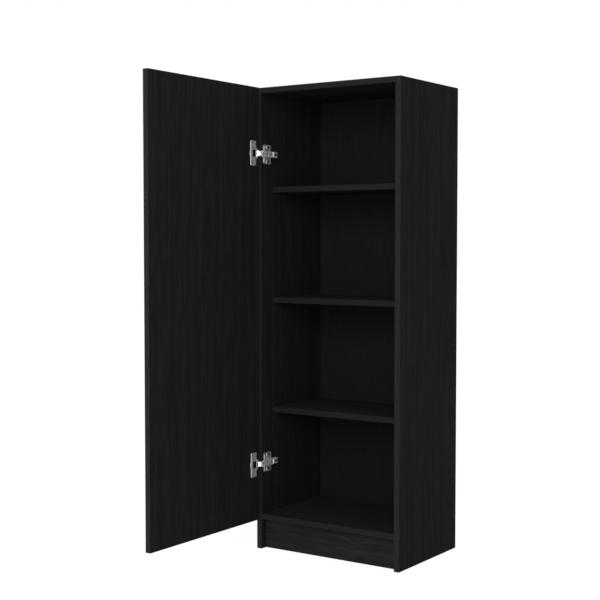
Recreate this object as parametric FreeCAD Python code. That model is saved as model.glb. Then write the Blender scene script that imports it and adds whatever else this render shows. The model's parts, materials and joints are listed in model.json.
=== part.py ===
"""Tall pantry cabinet: three fixed shelves and one full-height door on two concealed hinges.

Millimetres, +Z up, +Y towards the back. Everything is laid out from the front left bottom
corner of the carcass. The finished shapes are then moved so that the origin is the middle
of the plinth's underside. The door stands open at a right angle.
"""
import FreeCAD, Part
import os
from math import cos, pi, radians, sin, sqrt

V = FreeCAD.Vector

# Overall sizes of the carcass
cabinet_width = 444.0
cabinet_depth = 308.0
cabinet_height = 1244.0
board = 15.0
edge_strip = 0.5
strip_round = 0.3

# Plinth, bottom and shelves
plinth_height = 81.0
plinth_recess = 21.5
shelf_recess = 55.0
lowest_shelf = 367.0
shelf_pitch = 300.0
shelf_names = ("lower", "middle", "upper")

# Back panel, held in a groove all round
back_thickness = 3.0
back_inset = 17.0
groove_depth = 6.0
groove_clearance = 0.1
back_end_gap = 0.4
shelf_back_gap = 0.5

# Door
door_thickness = 15.0
door_side_gap = 1.0
door_top_gap = 1.0
door_bottom_gap = 2.0

# Cam joints and dowels that hold the boards together
cam_from_front = 37.0
cam_behind_plinth = 12.0
dowel_spacing = 32.0
cam_from_end = 34.0
cam_radius = 7.4
cam_floor = 2.5
cam_bore_clearance = 0.1
cam_cap_radius = 8.6
cam_cap_thickness = 0.8
bolt_thread_radius = 2.45
bolt_thread_length = 10.0
bolt_shank_radius = 2.0
bolt_head_radius = 3.4
bolt_head_length = 3.0
bolt_channel_radius = 3.9
dowel_radius = 4.0
dowel_length = 28.0
dowel_in_side = 10.0
dowel_chamfer = 0.8
bore_clearance = 0.05
plinth_joint_height = 40.0
plinth_dowel_offset = 24.0

# Hinges: heights, and the pivots seen from above
hinge_from_door_top = 175.0
hinge_from_door_bottom = 152.0
arm_pivot_standoff = 11.0
arm_pivot_forward = 8.4
link_length = 17.0
link_rest_angle = -128.9
link_closing_turn = 65.4
cup_pivot_inset = 8.55
cup_pivot_depth = 2.05
pin_radius = 1.2
pin_clearance = 0.04

# Hinge cup and its flange plate
cup_centre_inset = 21.5
cup_radius = 17.5
cup_wall = 0.8
cup_depth = 11.5
cup_bore_clearance = 0.1
cup_bore_extra_depth = 0.3
rim_overlap = 0.8
flange_chamfer = 0.8
flange_thickness = 1.2
flange_near = 13.5
flange_width = 24.0
flange_height = 66.0
flange_corner = 3.0
window_near = 6.4
window_far = 28.5
window_half_height = 9.4
notch_half_height = 6.9
notch_below_pivot = 2.2
cup_cheek_inner = 8.0
cup_cheek_thickness = 1.2
cup_cheek_before_pivot = 2.4
cup_cheek_behind_pivot = 3.2
cup_screw_spacing = 52.0
cup_screw_behind_centre = 9.5
cup_screw_length = 12.5
cup_screw_shank = 1.6
cup_screw_head = 3.6
cup_screw_seat_depth = 0.8
screw_seat_gap = 0.1

# Link between the arm and the cup
link_sagitta = 4.9
link_thickness = 1.6
link_half_height = 6.2
link_cheek = 1.2
link_eye_radius = 1.9
link_skin_from = 0.17
link_skin_to = 0.78

# Hinge arm: a channel with its web away from the side panel
arm_wall = 1.2
arm_half_height = 7.8
arm_nose_radius = 2.15
arm_step = 37.6
arm_length = 60.0
arm_step_drop = 2.4
arm_lift = 2.6
arm_front_lift = 3.2
arm_throat = 4.0
arm_round = 1.0
arm_nose_to_web = 2.6
arm_ridge_height = 0.9
arm_ridge_top = 0.6
arm_step_run = 1.5
arm_web_hole = 3.4
arm_slot_gap = 0.3
adjusting_screw_at = 12.0
locking_screw_at = 30.0
fixing_screw_at = 51.0
arm_screw_shank = 1.9
arm_screw_head = 3.2
arm_screw_head_height = 1.6
arm_screw_length = 7.0
arm_screw_sunk = 0.9
fixing_screw_wider = 0.6

# Mounting plate
plate_front = 9.0
plate_width = 33.0
plate_height = 52.0
plate_thickness = 2.0
plate_corner = 4.0
plate_screw_at = 31.0
plate_screw_spacing = 38.0
plate_slot_at = 20.0
plate_slot_half = 3.0
plate_slot_radius = 1.6
plate_chamfer = 0.8
plate_slot_chamfer = 0.8
plate_rib_height = 1.4
plate_rib_width = 2.0
plate_rib_from_block = 2.2
plate_screw_head = 3.7
plate_screw_shank = 1.7
plate_screw_length = 14.0
pedestal_half_height = 6.0
pedestal_nose = 1.5
pedestal_below_tail = 3.0
pedestal_step = 3.0
pedestal_short_of_tail = 1.0
arm_screw_bore_gap = 0.15
web_gap = 0.1

# Closing spring on the arm's pin
spring_wire = 0.7
spring_pitch = 1.15
spring_turns = 6
spring_gap = 0.12

# Places worked out from the sizes above
side_inner = board
right_inner = cabinet_width - board
inner_top = cabinet_height - board
back_front = cabinet_depth - back_inset - back_thickness
bottom_top = plinth_height + board
shelf_levels = [lowest_shelf + shelf_pitch * n for n in range(len(shelf_names))]

# Pivots: the arm's is fixed, the cup's is carried by the link
arm_pivot = (side_inner + arm_pivot_standoff, -arm_pivot_forward)


def link_end(angle):
    """Where the cup's pivot stands when the link points at this angle."""
    return (arm_pivot[0] + link_length * cos(radians(angle)),
            arm_pivot[1] + link_length * sin(radians(angle)))


cup_pivot = link_end(link_rest_angle)
closed_cup_pivot = link_end(link_rest_angle - link_closing_turn)
door_inner_x = cup_pivot[0] + cup_pivot_depth
door_edge_y = cup_pivot[1] + cup_pivot_inset
closed_edge_x = closed_cup_pivot[0] - cup_pivot_inset
door_width = cabinet_width - door_side_gap - closed_edge_x
door_bottom = plinth_height + door_bottom_gap
door_top = cabinet_height - door_top_gap
hinge_levels = {"upper": door_top - hinge_from_door_top,
                "lower": door_bottom + hinge_from_door_bottom}
rim_radius = cup_radius + rim_overlap

# Levels of the arm's web and of its lower tail, measured from the carcass's left face
web_outer = side_inner + arm_pivot_standoff + arm_nose_radius
web_inner = web_outer - arm_wall
tail_outer = web_outer - arm_step_drop
tail_inner = tail_outer - arm_wall
web_front = arm_pivot[1] + arm_nose_radius + arm_nose_to_web


def box(x0, y0, z0, x1, y1, z1):
    return Part.makeBox(x1 - x0, y1 - y0, z1 - z0, V(x0, y0, z0))


def rod(x, y, z, axis, radius, length):
    return Part.makeCylinder(radius, length, V(x, y, z), V(*axis))


def fused(first, *others):
    return first.fuse(list(others)).removeSplitter()


def rounded(shape, radius, wanted):
    """Round the edges whose two ends both satisfy the test."""
    edges = []
    for edge in shape.Edges:
        if all(wanted(vertex.Point) for vertex in edge.Vertexes):
            edges.append(edge)
    return shape.makeFillet(radius, edges)


def chamfered(shape, size, x):
    """Chamfer every edge that lies in the plane at this X."""
    edges = [edge for edge in shape.Edges if all(abs(v.Point.x - x) < 0.001 for v in edge.Vertexes)]
    return shape.makeChamfer(size, edges)


def placed(shape, point, out):
    """Turn a piece made along +Z so that its +Z points out, and move it to the point."""
    copy = shape.copy()
    copy.Placement = FreeCAD.Placement(V(*point), FreeCAD.Rotation(V(0, 0, 1), V(*out)))
    return copy


def cross_recess(width, depth):
    thin = width / 4
    first = box(-width / 2, -thin / 2, -depth, width / 2, thin / 2, depth)
    second = box(-thin / 2, -width / 2, -depth, thin / 2, width / 2, depth)
    return first.fuse(second)


def countersunk_screw(head_radius, shank_radius, length):
    """Head face at z = 0, shank downwards, ending in a point."""
    head_depth = head_radius - shank_radius
    point_depth = 2 * shank_radius
    head = Part.makeCone(shank_radius, head_radius, head_depth, V(0, 0, -head_depth))
    shank = rod(0, 0, point_depth - length, (0, 0, 1), shank_radius, length - head_depth - point_depth)
    point = Part.makeCone(0.2, shank_radius, point_depth, V(0, 0, -length))
    return fused(head, shank, point).cut(cross_recess(head_radius * 1.1, head_depth * 0.5))


def cap_screw(head_radius, head_height, shank_radius, length):
    """Head's underside at z = 0, slightly domed by a round, shank downwards."""
    head = rod(0, 0, 0, (0, 0, 1), head_radius, head_height)
    head = rounded(head, head_height * 0.4, lambda p: p.z > head_height / 2)
    shank = rod(0, 0, -length, (0, 0, 1), shank_radius, length)
    recess = cross_recess(head_radius * 1.2, head_height * 0.5)
    recess.translate(V(0, 0, head_height))
    return fused(head, shank).cut(recess)


class Joints:
    """Collects the fasteners, and the bores they need in each board."""

    def __init__(self):
        self.housings = []
        self.bolts = []
        self.caps = []
        self.dowels = []

    def cam(self, at, end, face):
        """Cut-outs for a cam whose bolt enters the board's end.

        at is the bolt's axis on the end face, end points from the board into the side
        panel, and face points out of the cam's bore.
        """
        x, y, z = at
        depth = board - cam_floor
        half = board / 2
        cam_x = x - end * cam_from_end
        mouth = (cam_x, y + face[1] * half, z + face[2] * half)
        into = (0, -face[1], -face[2])
        bore = rod(*mouth, into, cam_radius + cam_bore_clearance, depth)
        channel_start = x if end < 0 else cam_x
        channel = rod(channel_start, y, z, (1, 0, 0), bolt_channel_radius, cam_from_end)
        side_bore = rod(x, y, z, (end, 0, 0), bolt_thread_radius + bore_clearance,
                        bolt_thread_length + bore_clearance)

        housing = rod(*mouth, into, cam_radius, depth - bore_clearance)
        inner_end = cam_x - end * bolt_head_radius
        slot_start = min(inner_end, x)
        slot = rod(slot_start, y, z, (1, 0, 0), bolt_channel_radius, abs(x - inner_end))
        turn = placed(cross_recess(cam_radius, 1.2), mouth, (0, face[1], face[2]))
        self.housings.append(housing.cut([slot, turn]))

        thread = rod(x, y, z, (end, 0, 0), bolt_thread_radius, bolt_thread_length)
        shank = rod(x, y, z, (-end, 0, 0), bolt_shank_radius, cam_from_end)
        head = rod(cam_x, y, z, (end, 0, 0), bolt_head_radius, bolt_head_length)
        self.bolts.append(fused(thread, shank, head))
        return bore.fuse(channel), side_bore, mouth

    def cap(self, mouth, face):
        disc = rod(*mouth, face, cam_cap_radius, cam_cap_thickness)
        outer = mouth[2] + face[2] * cam_cap_thickness
        self.caps.append(rounded(disc, cam_cap_thickness / 2, lambda p: abs(p.z - outer) < 0.01))

    def dowel(self, at, end):
        x, y, z = at
        start = x + end * dowel_in_side
        pin = rod(start, y, z, (-end, 0, 0), dowel_radius, dowel_length)
        rims = [edge for edge in pin.Edges if abs(edge.Length - 2 * pi * dowel_radius) < 0.01]
        self.dowels.append(pin.makeChamfer(dowel_chamfer, rims))
        radius = dowel_radius + bore_clearance
        in_board = rod(x, y, z, (-end, 0, 0), radius, dowel_length - dowel_in_side + bore_clearance)
        in_side = rod(x, y, z, (end, 0, 0), radius, dowel_in_side + bore_clearance)
        return in_board, in_side


joints = Joints()
nodes = {}
side_bores = {-1: [], 1: []}


def fasten(shape, first_cam, middle_z):
    """Bore a level board at both ends for two cams and two dowels, and the sides to match."""
    cuts = []
    rows = ((first_cam, 1), (back_front - cam_from_front, -1))
    for end, x in ((-1, side_inner), (1, right_inner)):
        for y, inwards in rows:
            in_board, in_side, mouth = joints.cam((x, y, middle_z), end, (0, 0, -1))
            joints.cap(mouth, (0, 0, -1))
            cuts.append(in_board)
            side_bores[end].append(in_side)
            in_board, in_side = joints.dowel((x, y + inwards * dowel_spacing, middle_z), end)
            cuts.append(in_board)
            side_bores[end].append(in_side)
    return shape.cut(cuts)


def strip(x0, z0, x1, z1, front):
    """Edge strip on a front edge, its two long outer edges lightly rounded."""
    shape = box(x0, front, z0, x1, front + edge_strip, z1)
    level = x1 - x0 > z1 - z0

    def outer(point):
        return point.y < front + edge_strip / 2

    edges = []
    for edge in shape.Edges:
        along = edge.BoundBox.XLength if level else edge.BoundBox.ZLength
        if along > 1 and all(outer(v.Point) for v in edge.Vertexes):
            edges.append(edge)
    return shape.makeFillet(strip_round, edges)


def groove_for_back():
    low = (side_inner - groove_depth, plinth_height + board - groove_depth)
    high = (right_inner + groove_depth, inner_top + groove_depth)
    return box(low[0], back_front, low[1], high[0], back_front + back_thickness + groove_clearance, high[1])


def make_level_boards():
    groove = groove_for_back()
    behind_plinth = plinth_recess + board + cam_behind_plinth
    for name, z, first_cam in (("bottom", plinth_height, behind_plinth),
                               ("top", inner_top, cam_from_front)):
        shape = box(side_inner, edge_strip, z, right_inner, cabinet_depth, z + board).cut(groove)
        nodes[name + "_panel"] = fasten(shape, first_cam, z + board / 2)
        nodes[name + "_edge_strip"] = strip(side_inner, z, right_inner, z + board, 0.0)
    for name, z in zip(shelf_names, shelf_levels):
        front = shelf_recess + edge_strip
        shape = box(side_inner, front, z, right_inner, back_front - shelf_back_gap, z + board)
        nodes["shelf_" + name] = fasten(shape, shelf_recess + cam_from_front, z + board / 2)
        nodes["shelf_" + name + "_edge_strip"] = strip(side_inner, z, right_inner, z + board, shelf_recess)


def make_plinth():
    front = plinth_recess
    shape = box(side_inner, front, 0, right_inner, front + board, plinth_height)
    middle = front + board / 2
    cuts = []
    for end, x in ((-1, side_inner), (1, right_inner)):
        in_board, in_side, _ = joints.cam((x, middle, plinth_joint_height), end, (0, 1, 0))
        cuts.append(in_board)
        side_bores[end].append(in_side)
        dowel_at = (x, middle, plinth_joint_height - plinth_dowel_offset)
        in_board, in_side = joints.dowel(dowel_at, end)
        cuts.append(in_board)
        side_bores[end].append(in_side)
    nodes["plinth_board"] = shape.cut(cuts)


def make_sides():
    groove = groove_for_back()
    for end, name, x in ((-1, "left", 0.0), (1, "right", right_inner)):
        shape = box(x, edge_strip, 0, x + board, cabinet_depth, cabinet_height)
        shape = shape.cut([groove] + side_bores[end])
        nodes["side_" + name] = shape
        nodes["side_" + name + "_edge_strip"] = strip(x, 0, x + board, cabinet_height, 0.0)


def make_back():
    reach = groove_depth - back_end_gap
    nodes["back_panel"] = box(side_inner - reach, back_front, bottom_top - reach, right_inner + reach,
                              back_front + back_thickness, inner_top + reach)


def door_point(inset, depth):
    """A place in the open door: inset from its hinge edge, depth below its inner face."""
    return (door_inner_x - depth, door_edge_y - inset)


def make_door():
    outer_x = door_inner_x - door_thickness
    latch_y = door_edge_y - door_width
    core = box(outer_x, latch_y + edge_strip, door_bottom + edge_strip, door_inner_x,
               door_edge_y - edge_strip, door_top - edge_strip)
    cuts = []
    cup_x, cup_y = door_point(cup_centre_inset, cup_depth + cup_bore_extra_depth)
    screw_y = cup_y - cup_screw_behind_centre
    seat_x = door_inner_x + flange_thickness - (cup_screw_head - cup_screw_shank) - bore_clearance
    for z in hinge_levels.values():
        cuts.append(rod(cup_x, cup_y, z, (1, 0, 0), cup_radius + cup_bore_clearance, door_thickness))
        for offset in (-cup_screw_spacing / 2, cup_screw_spacing / 2):
            hole_x = door_inner_x + flange_thickness - cup_screw_length - bore_clearance
            cuts.append(rod(hole_x, screw_y, z + offset, (1, 0, 0), cup_screw_shank + bore_clearance,
                            cup_screw_length))
            cuts.append(Part.makeCone(cup_screw_shank, cup_screw_head, cup_screw_head - cup_screw_shank,
                                      V(seat_x, screw_y, z + offset), V(1, 0, 0)))
    nodes["door_panel"] = core.cut(cuts)

    whole = (outer_x, latch_y, door_bottom, door_inner_x, door_edge_y, door_top)
    x0, y0, z0, x1, y1, z1 = whole
    strips = {"latch": (x0, y0, z0, x1, y0 + edge_strip, z1),
              "hinge": (x0, y1 - edge_strip, z0, x1, y1, z1),
              "bottom": (x0, y0 + edge_strip, z0, x1, y1 - edge_strip, z0 + edge_strip),
              "top": (x0, y0 + edge_strip, z1 - edge_strip, x1, y1 - edge_strip, z1)}
    for name, corners in strips.items():
        nodes["door_" + name + "_edge_strip"] = box(*corners)
    for name, outer in (("latch", y0), ("hinge", y1)):
        key = "door_" + name + "_edge_strip"
        nodes[key] = rounded(nodes[key], strip_round, lambda p: abs(p.y - outer) < 0.01)


def hinge_cup():
    centre_x, centre_y = door_point(cup_centre_inset, cup_depth)
    face = door_inner_x
    top = face + flange_thickness
    bowl = rod(centre_x, centre_y, 0, (1, 0, 0), cup_radius, cup_depth)
    inside = rod(centre_x + cup_wall, centre_y, 0, (1, 0, 0), cup_radius - cup_wall, cup_depth - cup_wall)
    bowl = bowl.cut(inside)
    rim = rod(face, centre_y, 0, (1, 0, 0), rim_radius, flange_thickness)
    near_y = door_edge_y - flange_near
    flange = box(face, near_y - flange_width, -flange_height / 2, top, near_y, flange_height / 2)
    corner_edges = [e for e in flange.Edges if e.BoundBox.XLength > flange_thickness / 2]
    flange = flange.makeFillet(flange_corner, corner_edges)
    collar = chamfered(fused(rim, flange), flange_chamfer, top)
    cheeks = []
    for sign in (-1, 1):
        z0 = sign * cup_cheek_inner
        z1 = sign * (cup_cheek_inner + cup_cheek_thickness)
        x0, y0 = door_point(cup_pivot_inset + cup_cheek_behind_pivot, cup_depth)
        x1, y1 = door_point(cup_pivot_inset - cup_cheek_before_pivot, 0)
        cheeks.append(box(x0, y0, min(z0, z1), x1, y1, max(z0, z1)))
    whole_disc = rod(centre_x, centre_y, 0, (1, 0, 0), cup_radius, cup_depth)
    cheeks = [cheek.common(whole_disc) for cheek in cheeks]
    cup = bowl.fuse([collar] + cheeks)

    far_y = door_edge_y - window_far
    window = box(face, far_y, -window_half_height, top, door_edge_y - window_near, window_half_height)
    notch_x = face - cup_pivot_depth - notch_below_pivot
    notch = box(notch_x, door_edge_y - window_near - 1, -notch_half_height, top, door_edge_y,
                notch_half_height)
    pin_bore = rod(*cup_pivot, -cup_radius, (0, 0, 1), pin_radius + pin_clearance, 2 * cup_radius)
    cuts = [window, notch, pin_bore]
    for offset in (-cup_screw_spacing / 2, cup_screw_spacing / 2):
        screw_y = centre_y - cup_screw_behind_centre
        seat = Part.makeCone(cup_screw_shank + screw_seat_gap, cup_screw_head + screw_seat_gap,
                             flange_thickness + cup_screw_seat_depth,
                             V(face - cup_screw_seat_depth, screw_y, offset), V(1, 0, 0))
        cuts.append(seat)
    return cup.cut(cuts).removeSplitter()


def arc_points(start, end, sagitta):
    """Three points of an arc from start to end that bulges to the left by the sagitta."""
    dx = end[0] - start[0]
    dy = end[1] - start[1]
    chord = sqrt(dx * dx + dy * dy)
    middle = ((start[0] + end[0]) / 2 - dy / chord * sagitta, (start[1] + end[1]) / 2 + dx / chord * sagitta)
    return start, middle, end


def arc_strip(start, end, sagitta, thickness, z0, z1, first=0.0, last=1.0):
    """A curved plate of even thickness along part of an arc, standing from z0 to z1."""
    a, b, c = [V(p[0], p[1], 0) for p in arc_points(start, end, sagitta)]
    whole = Part.Arc(a, b, c).toShape()
    circle = whole.Curve
    span = whole.LastParameter - whole.FirstParameter
    low = whole.FirstParameter + span * first
    high = whole.FirstParameter + span * last
    centre = circle.Center
    rims = []
    for offset in (-thickness / 2, thickness / 2):
        radius = circle.Radius + offset
        points = []
        for parameter in (low, (low + high) / 2, high):
            away = (circle.value(parameter) - centre).normalize()
            points.append(centre + away * radius)
        rims.append(points)
    inner, outer = rims
    edges = [Part.Arc(*inner).toShape(), Part.makeLine(inner[2], outer[2]),
             Part.Arc(*reversed(outer)).toShape(), Part.makeLine(outer[0], inner[0])]
    face = Part.Face(Part.Wire(edges))
    plate = face.extrude(V(0, 0, z1 - z0))
    plate.translate(V(0, 0, z0))
    return plate


def hinge_link():
    cheeks = []
    for low in (-link_half_height, link_half_height - link_cheek):
        high = low + link_cheek
        cheeks.append(arc_strip(arm_pivot, cup_pivot, link_sagitta, link_thickness, low, high))
        for pivot in (arm_pivot, cup_pivot):
            cheeks.append(rod(*pivot, low, (0, 0, 1), link_eye_radius, link_cheek))
    skin = arc_strip(arm_pivot, cup_pivot, link_sagitta, link_thickness, -link_half_height,
                     link_half_height, link_skin_from, link_skin_to)
    link = skin.fuse(cheeks)
    bores = []
    for pivot in (arm_pivot, cup_pivot):
        bores.append(rod(*pivot, -cup_radius, (0, 0, 1), pin_radius + pin_clearance, 2 * cup_radius))
    return link.cut(bores).removeSplitter()


def outline(points, z0, z1):
    corners = [V(x, y, z0) for x, y in points]
    face = Part.Face(Part.makePolygon(corners + [corners[0]]))
    return face.extrude(V(0, 0, z1 - z0))


def hinge_arm():
    nose_x, nose_y = arm_pivot
    low_x = side_inner + arm_lift
    ridge_x = web_outer + arm_ridge_height
    ridge_end = arm_step + arm_ridge_top
    step_end = arm_step + arm_step_run
    block = outline([(nose_x - arm_nose_radius, nose_y), (nose_x + arm_nose_radius, nose_y),
                     (web_outer, arm_step), (tail_outer, step_end), (tail_outer, arm_length),
                     (low_x, arm_length), (low_x, arm_front_lift + arm_throat), (low_x + 2, arm_front_lift)],
                    -arm_half_height, arm_half_height)
    outer_edges = []
    for edge in block.Edges:
        far = all(v.Point.x > tail_outer - 0.01 for v in edge.Vertexes)
        if far and edge.BoundBox.ZLength < 0.01:
            outer_edges.append(edge)
    block = block.makeFillet(arm_round, outer_edges)
    ridge_half = arm_half_height - arm_round
    ridge = outline([(web_inner, arm_step), (web_outer, arm_step - arm_ridge_height), (ridge_x, arm_step),
                     (ridge_x, ridge_end), (tail_outer, step_end), (tail_inner, step_end)],
                    -ridge_half, ridge_half)
    eye = rod(nose_x, nose_y, -arm_half_height, (0, 0, 1), arm_nose_radius, 2 * arm_half_height)
    inside = outline([(low_x - 5, nose_y - 5), (web_outer + 1, nose_y - 5), (web_outer + 1, web_front),
                      (web_inner, web_front), (web_inner, arm_step - arm_ridge_height),
                      (tail_inner, ridge_end), (tail_inner, arm_length + 1), (low_x - 5, arm_length + 1)],
                     arm_wall - arm_half_height, arm_half_height - arm_wall)
    arm = block.fuse([eye, ridge]).cut(inside).removeSplitter()
    cuts = [rod(nose_x, nose_y, -cup_radius, (0, 0, 1), pin_radius + pin_clearance, 2 * cup_radius)]
    for y in (adjusting_screw_at, locking_screw_at):
        cuts.append(rod(web_inner - 1, y, 0, (1, 0, 0), arm_web_hole, arm_wall + 2))
    slot_half = arm_screw_shank + arm_slot_gap
    cuts.append(box(tail_inner - 1, fixing_screw_at, -slot_half, tail_outer + 1, arm_length + 1, slot_half))
    cuts.append(rod(tail_inner - 1, fixing_screw_at, 0, (1, 0, 0), slot_half, arm_wall + 2))
    return arm.cut(cuts)


def pedestal_top(y):
    """Height of the mounting plate's block below the arm at this depth."""
    return tail_inner - web_gap if y > arm_step else tail_inner - pedestal_below_tail


def plate_slot(x0, x1, z):
    """Cut-out of a round-ended slot that widens towards the plate's outer face."""
    radius = plate_slot_radius
    wide = radius + plate_slot_chamfer
    flare = x1 - plate_slot_chamfer
    low_z = z - plate_slot_half
    high_z = z + plate_slot_half
    slot = box(x0, plate_slot_at - radius, low_z, x1, plate_slot_at + radius, high_z)
    section = Part.makePolygon([V(flare, plate_slot_at - radius, 0), V(x1, plate_slot_at - wide, 0),
                                V(x1, plate_slot_at + wide, 0), V(flare, plate_slot_at + radius, 0),
                                V(flare, plate_slot_at - radius, 0)])
    mouth = Part.Face(section).extrude(V(0, 0, 2 * plate_slot_half))
    mouth.translate(V(0, 0, low_z))
    parts = [mouth]
    for end_z in (low_z, high_z):
        flare_at = V(flare, plate_slot_at, end_z)
        parts.append(rod(x0, plate_slot_at, end_z, (1, 0, 0), radius, plate_thickness))
        parts.append(Part.makeCone(radius, wide, plate_slot_chamfer, flare_at, V(1, 0, 0)))
    return slot.fuse(parts)


def hinge_plate():
    x0 = side_inner
    x1 = side_inner + plate_thickness
    half = plate_height / 2
    wings = box(x0, plate_front, -half, x1, plate_front + plate_width, half)
    corner_edges = [e for e in wings.Edges if e.BoundBox.XLength > plate_thickness / 2]
    wings = wings.makeFillet(plate_corner, corner_edges)
    front = plate_front - pedestal_nose
    end = arm_length - pedestal_short_of_tail
    low = box(x0, front, -pedestal_half_height, pedestal_top(0), end, pedestal_half_height)
    high = box(x0, arm_step + pedestal_step, -pedestal_half_height, pedestal_top(arm_length), end,
               pedestal_half_height)
    ribs = []
    rib_top = x1 + plate_rib_height
    for sign in (-1, 1):
        ends = sorted((sign * (pedestal_half_height + plate_rib_from_block), sign * (half - plate_corner)))
        rib = box(x1, plate_front, ends[0], rib_top, plate_front + plate_rib_width, ends[1])
        ribs.append(chamfered(rib, plate_chamfer, rib_top))
    plate = wings.fuse([low, high] + ribs)
    cuts = []
    for y in (adjusting_screw_at, locking_screw_at, fixing_screw_at):
        cuts.append(rod(x0, y, 0, (1, 0, 0), arm_screw_shank + arm_screw_bore_gap, board))
    for sign in (-1, 1):
        z = sign * plate_screw_spacing / 2
        cuts.append(Part.makeCone(plate_screw_shank + screw_seat_gap, plate_screw_head + screw_seat_gap,
                                  plate_thickness, V(x0, plate_screw_at, z), V(1, 0, 0)))
        cuts.append(plate_slot(x0, x1, z))
    return plate.cut(cuts).removeSplitter()


def spring():
    radius = pin_radius + spring_gap + spring_wire / 2
    height = spring_pitch * spring_turns
    helix = Part.makeHelix(spring_pitch, height, radius)
    section = Part.Wire(Part.makeCircle(spring_wire / 2, V(radius, 0, 0), V(0, 1, 0)))
    coil = Part.Wire(helix).makePipeShell([section], True, True)
    coil.translate(V(*arm_pivot, -height / 2))
    return coil


def raised(shape, z):
    copy = shape.copy()
    copy.translate(V(0, 0, z))
    return copy


def make_hinges():
    shapes = {"cup": hinge_cup(), "link": hinge_link(), "arm": hinge_arm(), "plate": hinge_plate(),
              "spring": spring()}
    arm_pin = rod(*arm_pivot, -arm_half_height, (0, 0, 1), pin_radius, 2 * arm_half_height)
    cup_pin_half = cup_cheek_inner + cup_cheek_thickness
    cup_pin = rod(*cup_pivot, -cup_pin_half, (0, 0, 1), pin_radius, 2 * cup_pin_half)
    cup_screw = countersunk_screw(cup_screw_head, cup_screw_shank, cup_screw_length)
    plate_screw = countersunk_screw(plate_screw_head, plate_screw_shank, plate_screw_length)
    arm_screw = cap_screw(arm_screw_head, arm_screw_head_height, arm_screw_shank, arm_screw_length)
    fixing_screw = cap_screw(arm_screw_head + fixing_screw_wider, arm_screw_head_height, arm_screw_shank,
                             arm_screw_length)
    groups = {"arm_pins": [], "cup_pins": [], "cup_screws": [], "plate_screws": [],
              "arm_adjusting_screws": [], "arm_fixing_screws": []}
    screw_y = door_point(cup_centre_inset, 0)[1] - cup_screw_behind_centre
    pilot_holes = []
    for name, z in hinge_levels.items():
        for key, shape in shapes.items():
            nodes["hinge_" + key + "_" + name] = raised(shape, z)
        groups["arm_pins"].append(raised(arm_pin, z))
        groups["cup_pins"].append(raised(cup_pin, z))
        for sign in (-1, 1):
            cup_screw_z = z + sign * cup_screw_spacing / 2
            face = door_inner_x + flange_thickness
            groups["cup_screws"].append(placed(cup_screw, (face, screw_y, cup_screw_z), (1, 0, 0)))
            plate_z = z + sign * plate_screw_spacing / 2
            face = side_inner + plate_thickness
            groups["plate_screws"].append(placed(plate_screw, (face, plate_screw_at, plate_z), (1, 0, 0)))
            pilot_holes.append(rod(side_inner, plate_screw_at, plate_z, (-1, 0, 0),
                                   plate_screw_shank + bore_clearance, plate_screw_length - plate_thickness))
        for y in (adjusting_screw_at, locking_screw_at):
            seat = (web_outer - arm_screw_head_height - arm_screw_sunk, y, z)
            groups["arm_adjusting_screws"].append(placed(arm_screw, seat, (1, 0, 0)))
        seat = (tail_outer, fixing_screw_at, z)
        groups["arm_fixing_screws"].append(placed(fixing_screw, seat, (1, 0, 0)))
    for key, shapes_in_group in groups.items():
        nodes[key] = Part.makeCompound(shapes_in_group)
    side_bores[-1].extend(pilot_holes)


make_level_boards()
make_plinth()
make_hinges()
make_sides()
make_back()
make_door()
nodes["cam_housings"] = Part.makeCompound(joints.housings)
nodes["cam_bolts"] = Part.makeCompound(joints.bolts)
nodes["cam_caps"] = Part.makeCompound(joints.caps)
nodes["wooden_dowels"] = Part.makeCompound(joints.dowels)

os.makedirs("parts", exist_ok=True)
to_origin = V(-cabinet_width / 2, -(plinth_recess + board / 2), 0)
for name, shape in nodes.items():
    shape.translate(to_origin)
    shape.exportStep("parts/" + name + ".step")
    solids = shape.Solids
    state = "valid" if shape.isValid() else "NOT VALID"
    print(name, len(solids), state, round(shape.Volume / 1000, 2), "cm3")

print("door width", round(door_width, 2), "inner face x", round(door_inner_x - cabinet_width / 2, 3),
      "hinge edge y", round(door_edge_y + to_origin.y, 3))
print("arm pivot", [round(p, 3) for p in (arm_pivot[0] + to_origin.x, arm_pivot[1] + to_origin.y)],
      "cup pivot", [round(p, 3) for p in (cup_pivot[0] + to_origin.x, cup_pivot[1] + to_origin.y)],
      "hinge levels", hinge_levels)
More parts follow.
